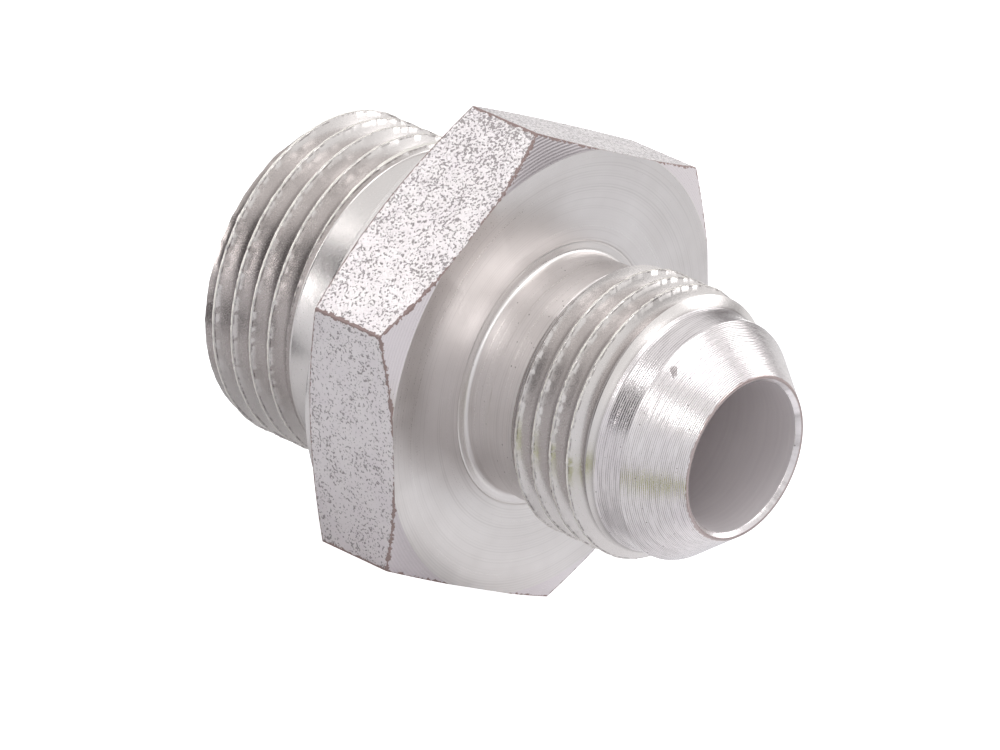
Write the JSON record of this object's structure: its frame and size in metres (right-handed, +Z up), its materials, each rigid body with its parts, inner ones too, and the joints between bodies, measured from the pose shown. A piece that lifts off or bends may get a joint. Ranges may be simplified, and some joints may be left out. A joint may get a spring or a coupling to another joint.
{
  "type": "face seal fitting",
  "caption": "Straight one-piece steel hydraulic adapter: threaded stud with a face-sealing ring behind a hexagon, neck, smaller thread and 37 degree flare nose, bored through.",
  "frame": {"origin": "on the ground under the middle of the fitting, which lies on one hexagon flat", "axes": "+X along the bore, from the stud end to the flare nose; +Z up"},
  "size_m": [0.0458, 0.0416, 0.036],
  "materials": {
    "zinc_steel": "bright zinc plating over turned and cold-drawn steel"
  },
  "bodies": {
    "root": {"fitting_body": "zinc_steel"}
  },
  "joints": []
}
